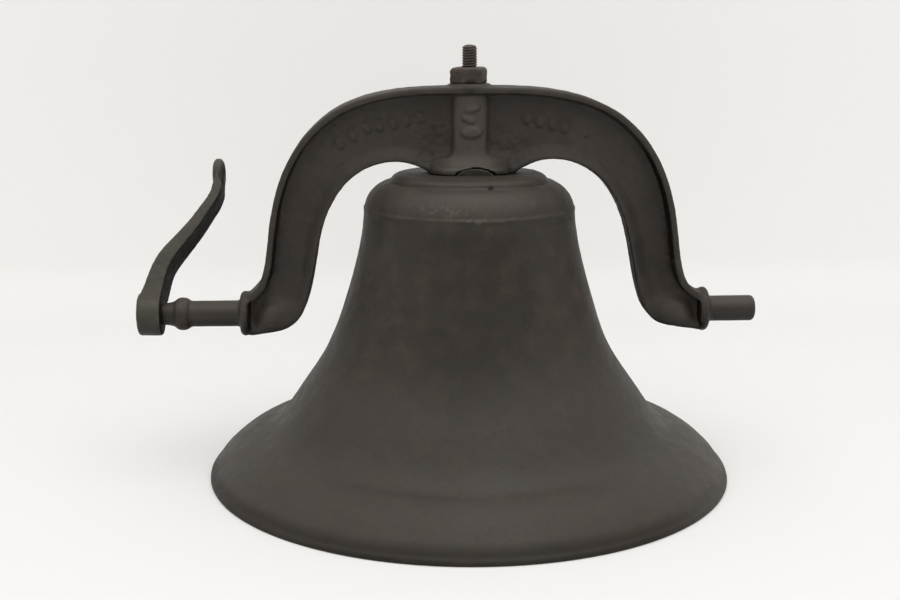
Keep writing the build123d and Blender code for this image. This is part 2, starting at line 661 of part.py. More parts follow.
PIECES = {
    "bell": make_bell,
    "yoke": make_yoke,
    "yoke_nut": make_yoke_nut,
    "crank_arm": make_crank_arm,
    "crank_washer": make_crank_washer,
    "crank_screw": make_crank_screw,
    "crown_washer": make_crown_washer,
    "clapper_hanger": make_clapper_hanger,
    "clapper_pin": make_clapper_pin,
    "clapper_pin_washer": make_clapper_pin_washer,
    "clapper_cotter": make_clapper_cotter,
    "clapper_shank": make_clapper_shank,
    "clapper_ball": make_clapper_ball,
}

os.makedirs("parts", exist_ok=True)
for name, make in PIECES.items():
    export_step(make(), f"parts/{name}.step")
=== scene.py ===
"""Looks of the yard dinner bell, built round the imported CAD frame. Lengths are in metres."""
import itertools
import json
import math

import bmesh
import bpy
import numpy as np
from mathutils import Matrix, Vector, kdtree


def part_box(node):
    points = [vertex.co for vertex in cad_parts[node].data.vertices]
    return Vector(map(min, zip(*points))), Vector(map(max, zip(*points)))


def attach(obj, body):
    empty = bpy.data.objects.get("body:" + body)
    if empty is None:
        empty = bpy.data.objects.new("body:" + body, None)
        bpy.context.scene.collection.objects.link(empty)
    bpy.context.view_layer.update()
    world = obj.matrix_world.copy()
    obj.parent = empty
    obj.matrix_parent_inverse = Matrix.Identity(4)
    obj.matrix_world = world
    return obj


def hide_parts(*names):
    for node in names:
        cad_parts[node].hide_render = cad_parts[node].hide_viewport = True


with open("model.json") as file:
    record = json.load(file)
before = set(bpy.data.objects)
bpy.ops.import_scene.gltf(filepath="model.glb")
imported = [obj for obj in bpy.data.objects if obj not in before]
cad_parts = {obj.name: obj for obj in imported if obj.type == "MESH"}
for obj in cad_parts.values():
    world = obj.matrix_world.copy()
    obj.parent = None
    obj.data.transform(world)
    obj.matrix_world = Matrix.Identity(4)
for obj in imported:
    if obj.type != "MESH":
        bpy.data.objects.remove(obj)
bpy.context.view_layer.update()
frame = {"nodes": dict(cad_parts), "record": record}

MM = 0.001
WELD = 0.002 * MM               # vertices closer than this are one
HOUSING = "bell_and_yoke"
CLAPPER = "clapper"

# ---- places taken from the frame ----------------------------------------------------
MOUNTS = {mount["name"]: Vector(mount["pos_m"]) for mount in frame["record"]["mounts"]}
RIGHT_JOURNAL = MOUNTS["right_journal"]     # the middles of the two journals
LEFT_JOURNAL = MOUNTS["left_journal"]
ROPE_EYE = MOUNTS["rope_eye"]
NUT_LOW, NUT_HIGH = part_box("yoke_nut")
STUD_START = NUT_LOW.z - 4 * MM             # a little below the nut, inside the yoke
STUD_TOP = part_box("clapper_hanger")[1].z
CRANK_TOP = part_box("crank_arm")[1].z
MOUTH_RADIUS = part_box("bell")[1].x
CROWN_WALL = 12 * MM                        # from the crown washer to the bell's flat top
CROWN_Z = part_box("crown_washer")[1].z + CROWN_WALL

# ---- the arch and its collars; the arch's middle is a little off the bolt -----------
RIGHT_JOURNAL_AWAY = 239.95 * MM            # from the arch's middle to the journal's middle
RIGHT_JOURNAL_HALF = 21.05 * MM
LEFT_JOURNAL_HALF = 23.6 * MM
COLLAR_WIDTH = 8.5 * MM
TRUNNION_Z = RIGHT_JOURNAL.z
ARCH_X = RIGHT_JOURNAL.x - RIGHT_JOURNAL_AWAY
RIGHT_COLLAR = RIGHT_JOURNAL.x - RIGHT_JOURNAL_HALF - COLLAR_WIDTH - ARCH_X
LEFT_COLLAR = ARCH_X - LEFT_JOURNAL.x - LEFT_JOURNAL_HALF - COLLAR_WIDTH

# ---- sizes of the bell's details ----------------------------------------------------
AROUND_BELL = 336               # faces round the bell
FINE_ROW = 0.9 * MM             # spacing of its rows of faces by the rim and the shoulder
COARSE_ROW = 3.0 * MM           # and elsewhere
STEP_LINE_Z = 248.3 * MM        # ragged line round the foot of the shoulder
DISC_LINE_RADIUS = 74.2 * MM    # crease where the raised disc stands on the shoulder
DISC_BACK = 3.4 * MM            # the disc stands this far behind the bolt
LIP_Z = 15 * MM                 # faint band round the skirt, just above its edge
RIDGE_X = 4 * MM                # the locating ridge is off the bolt, as the arch is
RIDGE_REACH = 26 * MM           # the bell's section is levelled this far out, where it meets the ridge
BLEMISHES = 150
DEEP_PIT = (14.5 * MM, -69.4 * MM, 273 * MM)

# ---- sizes of the yoke's details ----------------------------------------------------
YOKE_VOXEL = 1.3 * MM
FLANGE_THICKNESS = 6.5 * MM
WEB_HALF = 5.5 * MM             # half thickness of the yoke's web
DRAWN_EDGE_HALF = 12.5 * MM     # half depth of the stepped inner edge on the CAD yoke
EDGE_RISE = 7.5 * MM            # how far the rounded inner edge stands above the web
EDGE_WIDTH = 15 * MM
ELBOW_HALF = 16.5 * MM          # swelling at the foot of each leg, just before its collar
COLUMN_WIDENING = 3.4 * MM
FOOT_HALF = 25 * MM             # the yoke's foot, from its middle to its front
FOOT_END = 38 * MM              # and from its middle to its end
FOOT_CORNER = 20 * MM
FOOT_THICKNESS = 5.5 * MM
FLARE_REACH = 37.5 * MM         # the flare on the foot stops just inside the foot's end
FLARE_HEIGHT = 25 * MM
FLARE_SWEEP = 1.9               # power of its curve
NOTCH_HALF = 17.9 * MM          # opening in the foot, over the locating ridge
NOTCH_HEIGHT = 6.7 * MM

# ---- sizes of the smaller pieces ----------------------------------------------------
CRANK_VOXEL = 1.0 * MM
SMALL_VOXEL = 0.7 * MM
EYE_HALF = 5.25 * MM            # half thickness of the rope eye
NUT_GROWTH = 1.06               # the nut is wider along X than it was drawn
NUT_SHIFT = 0.7 * MM            # and stands this far to the left
STUD_RADIUS = 7.0 * MM
STUD_END = 3.4 * MM             # length of the stud's rounded end
THREAD_PITCH = 2.35 * MM
THREAD_DEPTH = 1.2 * MM

# ---- uneven skins, as layers of noise, each (cell size, height) ---------------------
BELL_SKIN = [(60 * MM, 0.40 * MM), (22 * MM, 0.22 * MM), (9 * MM, 0.12 * MM), (4.5 * MM, 0.10 * MM)]
CAST_SKIN = [(38 * MM, 0.30 * MM), (13 * MM, 0.16 * MM), (5 * MM, 0.12 * MM), (2.6 * MM, 0.10 * MM)]
CRUSTY_SKIN = [(7 * MM, 0.40 * MM), (3 * MM, 0.36 * MM), (1.5 * MM, 0.18 * MM)]
FORGED_SKIN = [(20 * MM, 0.20 * MM), (7 * MM, 0.15 * MM), (2.5 * MM, 0.08 * MM)]
THREAD_SKIN = [(2.2 * MM, 0.12 * MM), (0.9 * MM, 0.06 * MM)]
RIDGE_SKIN = [(3 * MM, 0.3 * MM)]
BAR_SKIN = [(6 * MM, 0.10 * MM)]
SMALL_SKIN = [(3 * MM, 0.04 * MM)]


# ---- sums ---------------------------------------------------------------------------
def smooth_step(value, low=0.0, high=1.0):
    """Rise smoothly from 0 at low to 1 at high."""
    share = np.clip((value - low) / (high - low), 0.0, 1.0)
    return share * share * (3 - 2 * share)


def window(value, rise, fall):
    """Rise smoothly to 1 and fall again; rise and fall are each (start, end) in millimetres."""
    risen = smooth_step(value, rise[0] * MM, rise[1] * MM)
    return risen * (1 - smooth_step(value, fall[0] * MM, fall[1] * MM))


def hump(value, middle, width):
    """A smooth hump, 1 in its middle."""
    return np.exp(-((value - middle) / width) ** 2)


def lattice_noise(points, cell, seed):
    """Smooth random values from -1 to 1; the large numbers only scramble each cell's place."""
    place = np.asarray(points, float) / cell
    base = np.floor(place).astype(np.int64)
    share = place - base
    share = share * share * (3 - 2 * share)
    total = np.zeros(len(place))
    for corner in itertools.product((0, 1), repeat=3):
        key = base + np.array(corner)
        mixed = key[:, 0] * 73856093 ^ key[:, 1] * 19349663 ^ key[:, 2] * 83492791
        mixed = (mixed ^ (seed * 2654435)) & 0x7FFFFFFF
        mixed = ((mixed ^ (mixed >> 13)) * 1274126177) & 0x7FFFFFFF
        mixed = ((mixed ^ (mixed >> 15)) * 1103515245) & 0x7FFFFFFF
        value = ((mixed >> 8) & 0xFFFF) / 32767.5 - 1.0
        weight = np.prod(np.where(corner, share, 1 - share), axis=1)
        total += value * weight
    return total


def layered_noise(points, layers, seed):
    """The sum of layers of noise, each (cell size, height)."""
    total = np.zeros(len(points))
    for number, (cell, rise) in enumerate(layers):
        total += rise * lattice_noise(points, cell, seed + number)
    return total


def tree_of(points):
    tree = kdtree.KDTree(len(points))
    for number, point in enumerate(points):
        tree.insert(point, number)
    tree.balance()
    return tree


def distances(tree, points):
    return np.array([tree.find(point)[2] for point in points])


# ---- meshes -------------------------------------------------------------------------
def coordinates(mesh):
    flat = np.empty(len(mesh.vertices) * 3, np.float32)
    mesh.vertices.foreach_get("co", flat)
    return flat.reshape(-1, 3).astype(float)


def set_coordinates(mesh, points):
    mesh.vertices.foreach_set("co", points.astype(np.float32).ravel())
    mesh.update()


def normals(mesh):
    flat = np.empty(len(mesh.vertices) * 3, np.float32)
    mesh.vertex_normals.foreach_get("vector", flat)
    return flat.reshape(-1, 3).astype(float)


def new_object(name, mesh):
    mesh.name = name
    obj = bpy.data.objects.new(name, mesh)
    bpy.context.scene.collection.objects.link(obj)
    return obj


def shade_smooth(mesh):
    mesh.polygons.foreach_set("use_smooth", np.ones(len(mesh.polygons), bool))
    mesh.update()


def object_from_bmesh(name, bm):
    mesh = bpy.data.meshes.new(name)
    bmesh.ops.recalc_face_normals(bm, faces=bm.faces)
    bm.to_mesh(mesh)
    bm.free()
    shade_smooth(mesh)
    return new_object(name, mesh)


def skin_rings(bm, rings):
    """Join a stack of equal rings of vertices into a closed solid with flat ends."""
    for ring, following in zip(rings, rings[1:]):
        for step in range(len(ring)):
            ahead = (step + 1) % len(ring)
            bm.faces.new((ring[step], ring[ahead], following[ahead], following[step]))
    bm.faces.new(rings[0])
    bm.faces.new(rings[-1])


def welded_copy(node):
    """A closed copy of a CAD node's mesh: the frame splits vertices along its edges."""
    bm = bmesh.new()
    bm.from_mesh(frame["nodes"][node].data)
    bmesh.ops.remove_doubles(bm, verts=bm.verts, dist=WELD)
    return bm


def cut_by_plane(bm, place, across, clear_beyond=False):
    """Cut a mesh by a plane, and give the edges that lie on the cut."""
    everything = list(bm.verts) + list(bm.edges) + list(bm.faces)
    cut = bmesh.ops.bisect_plane(bm, geom=everything, dist=1e-7, plane_co=place, plane_no=across,
                                 clear_outer=clear_beyond)
    return [item for item in cut["geom_cut"] if isinstance(item, bmesh.types.BMEdge)]


def apply_modifiers(obj):
    graph = bpy.context.evaluated_depsgraph_get()
    baked = bpy.data.meshes.new_from_object(obj.evaluated_get(graph))
    obj.modifiers.clear()
    obj.data = baked
    shade_smooth(baked)


def remesh(obj, voxel, smoothing=2):
    """Even out an object's faces at one voxel size and round its corners a little."""
    even = obj.modifiers.new("even", "REMESH")
    even.mode = "VOXEL"
    even.voxel_size = voxel
    if smoothing:
        soft = obj.modifiers.new("soft", "SMOOTH")
        soft.factor = 0.5
        soft.iterations = smoothing
    apply_modifiers(obj)


def relax(obj, share, passes):
    """Soften a mesh where share is high, by drawing each vertex towards its neighbours."""
    points = coordinates(obj.data)
    ends = np.empty(len(obj.data.edges) * 2, np.int32)
    obj.data.edges.foreach_get("vertices", ends)
    near = np.concatenate([ends[0::2], ends[1::2]])
    far = np.concatenate([ends[1::2], ends[0::2]])
    count = np.bincount(near, minlength=len(points))
    for _ in range(passes):
        for axis in range(3):
            total = np.bincount(near, points[far, axis], len(points))
            points[:, axis] += 0.5 * share * (total / count - points[:, axis])
    set_coordinates(obj.data, points)


def displace(obj, layers, seed, weight=1.0):
    """Move a mesh along its normals by layers of noise."""
    points = coordinates(obj.data)
    height = layered_noise(points, layers, seed) * weight
    set_coordinates(obj.data, points + normals(obj.data) * height[:, None])


def paint(obj, tone):
    """Mark where a piece is drawn lighter (towards 1: painted highlights and worn spots) or darker (towards
    -1: mostly painted shade).
    """
    layer = obj.data.attributes.new("tone", "FLOAT", "POINT")
    layer.data.foreach_set("value", np.clip(tone, -1, 1).astype(np.float32))


def remade(node, name, voxel, smoothing, skin, seed):
    """A CAD node with even faces, softened corners and an uneven skin."""
    piece = object_from_bmesh(name, welded_copy(node))
    remesh(piece, voxel, smoothing)
    displace(piece, skin, seed)
    return piece


# ---- bell ---------------------------------------------------------------------------
def bell_outline():
    """The bell's section as (radius, height), from the rim's inside, up and over, and back."""
    bm = welded_copy("bell")
    slant = math.radians(45)
    across = Vector((math.sin(slant), -math.cos(slant), 0))
    along = Vector((math.cos(slant), math.sin(slant), 0))
    links = {}
    for edge in cut_by_plane(bm, (0, 0, 0), across):
        first, second = edge.verts
        if first.co.dot(along) > 0 and second.co.dot(along) > 0:
            links.setdefault(first, []).append(second)
            links.setdefault(second, []).append(first)
    start = max(links, key=lambda vert: vert.co.dot(along) - vert.co.z)
    path = [start]
    previous = None
    current = start
    while True:
        ahead = [vert for vert in links[current] if vert is not previous]
        if not ahead or ahead[0] is start:
            break
        previous, current = current, ahead[0]
        path.append(current)
    outline = np.array([(vert.co.dot(along), vert.co.z) for vert in path])
    bm.free()
    if outline[1][1] < outline[-1][1]:
        outline = np.vstack([outline[:1], outline[1:][::-1]])
    by_ridge = outline[:, 0] < RIDGE_REACH
    outline[by_ridge, 1] = np.minimum(outline[by_ridge, 1], CROWN_Z)
    return outline


def shows_fine_detail(radius, height):
    """True by the bell's rim and on its shoulder."""
    return (height < 10 * MM) | (height > 240 * MM) & (radius > 60 * MM)


def resampled(outline):
    """Points along a closed outline, closer together where it shows fine detail."""
    probe_step = 0.1 * MM
    closed = np.vstack([outline, outline[:1]])
    lengths = np.hypot(*np.diff(closed, axis=0).T)
    place = np.concatenate([[0], np.cumsum(lengths)])
    probe = np.arange(0, place[-1], probe_step)
    radius = np.interp(probe, place, closed[:, 0])
    height = np.interp(probe, place, closed[:, 1])
    spacing = np.where(shows_fine_detail(radius, height), FINE_ROW, COARSE_ROW)
    count = np.cumsum(probe_step / spacing)
    steps = int(count[-1])
    at = np.interp(np.arange(steps) * count[-1] / steps, count, probe)
    return np.column_stack([np.interp(at, place, closed[:, 0]), np.interp(at, place, closed[:, 1])])


def softened(outline):
    """A closed outline with each point drawn a little towards its neighbours."""
    return (np.roll(outline, 1, axis=0) + 2 * outline + np.roll(outline, -1, axis=0)) / 4


def revolved(name, outline, around):
    """Turn a closed outline about Z into a ring of four-sided faces."""
    count = len(outline)
    angles = np.arange(around) * 2 * math.pi / around
    radius = outline[None, :, 0]
    points = np.stack([
        radius * np.cos(angles)[:, None],
        radius * np.sin(angles)[:, None],
        np.broadcast_to(outline[None, :, 1], (around, count)),
    ], axis=2).reshape(-1, 3)
    ring = np.arange(around)[:, None] * count
    next_ring = np.roll(ring, -1, axis=0)
    here = np.arange(count)[None, :]
    ahead = np.roll(here, -1, axis=1)
    faces = np.stack([ring + here, ring + ahead, next_ring + ahead, next_ring + here], axis=2)
    mesh = bpy.data.meshes.new("section")
    mesh.from_pydata(points.tolist(), [], faces.reshape(-1, 4).tolist())
    mesh.validate()
    bm = bmesh.new()
    bm.from_mesh(mesh)
    bpy.data.meshes.remove(mesh)
    return object_from_bmesh(name, bm)


def step_line(points, radius):
    """The ragged line round the foot of the shoulder, fainter at the bell's sides."""
    angle = np.arctan2(points[:, 1], points[:, 0])
    round_place = np.column_stack([np.cos(angle), np.sin(angle), np.zeros(len(angle))]) * MOUTH_RADIUS
    wander = 1.1 * MM * lattice_noise(round_place, 45 * MM, 5)
    swell = 0.6 + 0.6 * lattice_noise(round_place, 16 * MM, 6)
    swell += 0.5 * lattice_noise(round_place, 5 * MM, 7)
    swell *= 0.35 + 0.65 * smooth_step(np.abs(np.sin(angle)), 0.25, 0.7)
    outside = smooth_step(radius, 92 * MM, 94 * MM)
    return 0.6 * MM * np.clip(swell, 0, 1.5) * hump(points[:, 2], STEP_LINE_Z + wander, 1.7 * MM) * outside


def disc_crease(points):
    """The crease round the raised disc under the yoke's foot."""
    from_disc = np.hypot(points[:, 0], points[:, 1] - DISC_BACK)
    on_top = smooth_step(points[:, 2], 266 * MM, 268 * MM)
    return -0.8 * MM * hump(from_disc, DISC_LINE_RADIUS, 0.9 * MM) * on_top


def lip_band(points, radius):
    """The faint band just above the skirt's edge."""
    return 0.35 * MM * hump(points[:, 2], LIP_Z, 2.2 * MM) * smooth_step(radius, 225 * MM, 230 * MM)


def add_pits(points, push, pits):
    """Sink small hollows, each (centre, radius, depth); a negative depth is a pimple."""
    for centre, radius, depth in pits:
        distance = np.linalg.norm(points - np.array(centre), axis=1)
        push -= depth * hump(distance, 0, radius)
    return push


def bell_blemishes(points):
    """Random pits and pimples on the casting, and one deep pit in the shoulder's front."""
    dice = np.random.default_rng(19)
    above_lip = points[points[:, 2] > 30 * MM]
    picks = dice.choice(len(above_lip), BLEMISHES, replace=False)
    blemishes = []
    for pick in picks:
        radius = dice.uniform(1.5, 3.2) * MM
        depth = dice.uniform(-0.45, 0.35) * MM
        blemishes.append((above_lip[pick], radius, depth))
    nearest = np.linalg.norm(points - np.array(DEEP_PIT), axis=1).argmin()
    blemishes.append((points[nearest], 1.9 * MM, 2.4 * MM))
    return blemishes


def paint_bell(bell):
    """Painted highlights on the shoulder's front and low on the right, with pale worn specks on the shoulder;
    painted shade down the front and round the lip; darker on the shoulder's right.
    """
    points = coordinates(bell.data)
    facing = normals(bell.data)
    side = points[:, 0]
    level = points[:, 2]
    radius = np.hypot(side, points[:, 1])
    front = smooth_step(-facing[:, 1], 0.0, 0.6)
    # painted highlight on the front of the shoulder
    shoulder = window(level, (244, 254), (268, 274)) * front * hump(side, 0, 75 * MM)
    patch = hump(side, -26 * MM, 24 * MM) * hump(level, 257 * MM, 5 * MM)
    patch += hump(side, 2 * MM, 16 * MM) * hump(level, 248 * MM, 3 * MM)
    specks = np.clip(2.4 * lattice_noise(points, 2.6 * MM, 15) - 0.3, 0, 1) * patch * front
    # painted shade down the front of the waist
    waist = window(level, (70, 110), (232, 246)) * front * hump(side, 0, 72 * MM)
    # painted shade round the lip, by the floor
    lip = (1 - smooth_step(level, 8 * MM, 18 * MM)) * (radius > 200 * MM)
    # painted light low on the right of the skirt
    flank = smooth_step(side, 150 * MM, 210 * MM) * (1 - smooth_step(level, 60 * MM, 80 * MM))
    shoulder_right = smooth_step(side, 45 * MM, 75 * MM) * (level > 240 * MM)
    tone = 0.36 * shoulder + 0.8 * specks + 0.38 * flank
    paint(bell, tone - 0.32 * waist - 0.45 * lip - 0.24 * shoulder_right)


def make_bell():
    bell = revolved("bell_casting", softened(resampled(bell_outline())), AROUND_BELL)
    points = coordinates(bell.data)
    radius = np.hypot(points[:, 0], points[:, 1])
    push = step_line(points, radius) + disc_crease(points) + lip_band(points, radius)
    push += layered_noise(points, BELL_SKIN, 1)
    push = add_pits(points, push, bell_blemishes(points))
    off_floor = smooth_step(points[:, 2], 0.5 * MM, 6 * MM)
    under_foot = 1 - smooth_step(radius, 48 * MM, 54 * MM)
    under_foot *= smooth_step(points[:, 2], 260 * MM, 264 * MM)
    push *= off_floor * (1 - under_foot)
    set_coordinates(bell.data, points + normals(bell.data) * push[:, None])
    paint_bell(bell)
    return bell


def make_crown_ridge():
    """The half-moon locating ridge that shows in the notch of the yoke's foot."""
    half_width = 17.2 * MM
    rise = 5.9 * MM
    half_depth = 24.2 * MM
    sunk = 1.5 * MM
    rows = 25
    steps = 18
    bm = bmesh.new()
    rings = []
    for y in np.linspace(-half_depth, half_depth, rows):
        ring = []
        for step in range(steps + 1):
            x = RIDGE_X + half_width * math.cos(math.pi * step / steps)
            z = CROWN_Z - sunk + (rise + sunk) * math.sin(math.pi * step / steps)
            ring.append(bm.verts.new((x, y, z)))
        rings.append(ring)
    skin_rings(bm, rings)
    ridge = object_from_bmesh("bell_locating_ridge", bm)
    remesh(ridge, SMALL_VOXEL, 3)
    displace(ridge, RIDGE_SKIN, 31)
    return ridge


# ---- yoke ---------------------------------------------------------------------------
def yoke_edges():
    """Points along the yoke's outer line and along its bays, in the middle plane."""
    bm = welded_copy("yoke")
    dense = []
    for edge in cut_by_plane(bm, (0, 0, 0), (0, 1, 0)):
        first, second = (vert.co for vert in edge.verts)
        pieces = max(1, int((second - first).length / (1 * MM)))
        dense += [first.lerp(second, step / pieces) for step in range(pieces)]
    bm.free()
    points = np.array([tuple(point) for point in dense])
    strip = np.floor(points[:, 0] / (2 * MM)).astype(int)
    top = {}
    for number, key in enumerate(strip):
        top[key] = max(top.get(key, -1), points[number, 2])
    inside_collars = np.abs(points[:, 0] - ARCH_X) < 206 * MM
    is_top = np.array([points[number, 2] > top[key] - 9 * MM for number, key in enumerate(strip)])
    past_foot = np.abs(points[:, 0]) > FOOT_END
    outer = points[inside_collars & is_top]
    inner = points[inside_collars & ~is_top & past_foot]
    return outer, inner


def collar_gap(points):
    """How far each point stands from the nearer collar's inner face; negative past it."""
    along = points[:, 0] - ARCH_X
    return np.where(along > 0, RIGHT_COLLAR, LEFT_COLLAR) - np.abs(along)


def collar_slant(points):
    """How far the hollow beside a collar leans away from it, at each point's height."""
    return 0.4 * np.clip(points[:, 2] - TRUNNION_Z + 8 * MM, 0, 30 * MM)


def web_depth(points, to_inner):
    """How far the web's surface should stand from the middle plane, at each point."""
    across = np.abs(points[:, 0] - ARCH_X)
    level = points[:, 2]
    edge = WEB_HALF + EDGE_RISE * smooth_step(1 - to_inner / EDGE_WIDTH)
    share = np.clip((level - TRUNNION_Z + 1.5 * MM) / ELBOW_HALF, -1, 1)
    swelling = ELBOW_HALF * np.sqrt(1 - share ** 2)
    reach = smooth_step(across, 146 * MM, 188 * MM)
    hollow = 1 - smooth_step(collar_gap(points) - collar_slant(points), 0, 14 * MM)
    hollow *= smooth_step(level, 135 * MM, 141 * MM)
    elbow = WEB_HALF + (swelling - WEB_HALF) * reach * (1 - hollow)
    return np.maximum(edge, elbow)


def movable_part(points, to_outer):
    """True on the web, its inner edge and the elbows: not on flange, column, foot or collars."""
    side = np.abs(points[:, 0])
    level = points[:, 2]
    depth = np.abs(points[:, 1])
    by_elbow = np.abs(points[:, 0] - ARCH_X) > 150 * MM
    column = 17 * MM + 9 * MM * smooth_step(-level, -312 * MM, -288 * MM)
    in_foot = (side < 40 * MM) & (level < CROWN_Z + FOOT_THICKNESS + 2 * MM)
    movable = (depth < np.where(by_elbow, 18 * MM, 14 * MM)) & (side > column)
    movable &= (collar_gap(points) > 0.5 * MM) & (level > 128 * MM) & ~in_foot
    return movable & (to_outer > FLANGE_THICKNESS + 0.3 * MM)


def widening(points):
    """How far the sides of the yoke's column move outward, below the seat of the nut."""
    share = window(np.abs(points[:, 0]), (2, 11), (14, 28))
    share *= 1 - smooth_step(points[:, 2], 346 * MM, 352 * MM)
    return np.sign(points[:, 0]) * COLUMN_WIDENING * share


def shape_web(yoke):
    """Turn the stepped inner edge of the CAD yoke into one that sweeps out of the web."""
    outer, inner = yoke_edges()
    points = coordinates(yoke.data)
    flat = points * np.array([1, 0, 1])
    to_outer = distances(tree_of(outer), flat)
    to_inner = distances(tree_of(inner), flat)
    target = web_depth(points, to_inner)
    movable = movable_part(points, to_outer)
    face = movable & (to_inner > 3 * MM)
    edge = movable & ~face
    points[face, 1] = (np.sign(points[:, 1]) * target)[face]
    points[edge, 1] *= (target / DRAWN_EDGE_HALF)[edge]
    points[:, 0] += widening(points)
    set_coordinates(yoke.data, points)


def flare_underside(x):
    """Height of the flare's lower edge: on the foot, and lifted over the locating ridge."""
    low = CROWN_Z + 0.2 * MM
    notch = 1 - ((x - RIDGE_X) / NOTCH_HALF) ** 2
    if notch > 0:
        low += NOTCH_HEIGHT * math.sqrt(notch)
    return low


def flare_depth(x, z):
    """How far the flare stands from the middle plane, as it sweeps from the web to the foot."""
    in_web = WEB_HALF - 1 * MM
    beyond = max(0.0, abs(x) - (FOOT_END - FOOT_CORNER))
    foot = FOOT_HALF - FOOT_CORNER + math.sqrt(FOOT_CORNER ** 2 - beyond ** 2)
    share = max(0.0, (z - CROWN_Z - FOOT_THICKNESS) / (FLARE_HEIGHT - FOOT_THICKNESS))
    return in_web + (foot - in_web) * max(0.0, 1 - share) ** FLARE_SWEEP


def add_foot_flare(yoke):
    """The swept root between the yoke's web and its foot, open where the ridge stands."""
    columns = 61
    rows = 25
    flare_top = CROWN_Z + FLARE_HEIGHT
    bm = bmesh.new()
    bm.from_mesh(yoke.data)
    grids = []
    for side in (-1, 1):
        grid = []
        for x in np.linspace(-FLARE_REACH, FLARE_REACH, columns):
            low = flare_underside(x)
            line = []
            for row in range(rows):
                z = low + (flare_top - low) * row / (rows - 1)
                line.append(bm.verts.new((x, side * flare_depth(x, z), z)))
            grid.append(line)
        grids.append(grid)
    front, back = grids
    for column in range(columns - 1):
        for row in range(rows - 1):
            for grid, turned in ((front, False), (back, True)):
                corners = [grid[column][row], grid[column + 1][row],
                           grid[column + 1][row + 1], grid[column][row + 1]]
                bm.faces.new(corners[::-1] if turned else corners)
    border = [(column, 0) for column in range(columns)]
    border += [(columns - 1, row) for row in range(1, rows)]
    border += [(column, rows - 1) for column in range(columns - 2, -1, -1)]
    border += [(0, row) for row in range(rows - 2, 0, -1)]
    for here, ahead in zip(border, border[1:] + border[:1]):
        corners = [front[ahead[0]][ahead[1]], front[here[0]][here[1]],
                   back[here[0]][here[1]], back[ahead[0]][ahead[1]]]
        bm.faces.new(corners)
    bm.to_mesh(yoke.data)
    bm.free()


def raised_pip(bm, centre, width, height, rise, turn):
    """A raised pip with a softened top, on a face that looks along -Y."""
    corners = 10
    rings = []
    for share, out in ((1.0, -2 * MM), (1.0, rise * 0.4), (0.72, rise)):
        ring = []
        for step in range(corners):
            angle = 2 * math.pi * step / corners
            x = width / 2 * share * math.cos(angle)
            z = height / 2 * share * math.sin(angle)
            turned_x = x * math.cos(turn) - z * math.sin(turn)
            turned_z = x * math.sin(turn) + z * math.cos(turn)
            place = (centre[0] + turned_x, centre[1] - out, centre[2] + turned_z)
            ring.append(bm.verts.new(place))
        rings.append(ring)
    skin_rings(bm, rings)


def add_foundry_marks(yoke):
    """Plain raised pips along the arch and three worn lumps on the column, front only."""
    bm = bmesh.new()
    bm.from_mesh(yoke.data)
    web = -WEB_HALF
    groups = [(-117, -93, 306, 320, 3), (-81, -45, 321.5, 329, 4), (52, 86, 328, 320, 4)]
    for x_start, x_end, z_start, z_end, count in groups:
        turn = math.atan2(z_end - z_start, x_end - x_start)
        for step in range(count):
            share = step / (count - 1)
            x = x_start + share * (x_end - x_start)
            z = z_start + share * (z_end - z_start)
            raised_pip(bm, (x * MM, web, z * MM), 8 * MM, 12 * MM, 2.0 * MM, turn)
    raised_pip(bm, (105 * MM, web, 313 * MM), 5 * MM, 5 * MM, 1.8 * MM, 0.5)
    raised_pip(bm, (1.5 * MM, -15.6 * MM, 337 * MM), 16 * MM, 6 * MM, 1.9 * MM, 0.25)
    raised_pip(bm, (-1.5 * MM, -15.4 * MM, 327.5 * MM), 14 * MM, 6 * MM, 1.9 * MM, -0.3)
    raised_pip(bm, (1.0 * MM, -15.2 * MM, 316 * MM), 20 * MM, 11 * MM, 2.6 * MM, 0.1)
    bm.to_mesh(yoke.data)
    bm.free()


def soften_roots(yoke):
    """Blend the elbows into the web and the collars' hollows, and the foot into the column."""
    points = coordinates(yoke.data)
    facing = normals(yoke.data)
    side = np.abs(points[:, 0])
    level = points[:, 2]
    elbow = window(collar_gap(points), (0, 2), (60, 72))
    elbow *= 1 - smooth_step(level, 176 * MM, 190 * MM)
    foot = smooth_step(level, CROWN_Z + 8 * MM, CROWN_Z + 12 * MM)
    foot *= 1 - smooth_step(level, 296 * MM, 306 * MM)
    foot *= 1 - smooth_step(side, 44 * MM, 52 * MM)
    seen = smooth_step(np.abs(facing[:, 1]), 0.15, 0.45) * (np.abs(points[:, 1]) < 20 * MM)
    relax(yoke, np.clip(elbow + foot, 0, 1) * seen, 45)


def yoke_weight(yoke):
    """How strongly the cast skin shows: least on the worn journals, most on the web by the column."""
    points = coordinates(yoke.data)
    side = np.abs(points[:, 0])
    journal = smooth_step(np.abs(points[:, 0] - ARCH_X), 214 * MM, 217 * MM)
    on_web = (np.abs(points[:, 1]) < 10 * MM) & (side < 150 * MM) & (side > 16 * MM)
    by_column = hump(side, 31 * MM, 17 * MM) * np.where(points[:, 0] < 0, 1.5, 0.8)
    by_column *= 1 - smooth_step(points[:, 2], 318 * MM, 338 * MM)
    return (1 - 0.75 * journal) * np.where(on_web, 1.8 + 2.6 * by_column, 1.0)


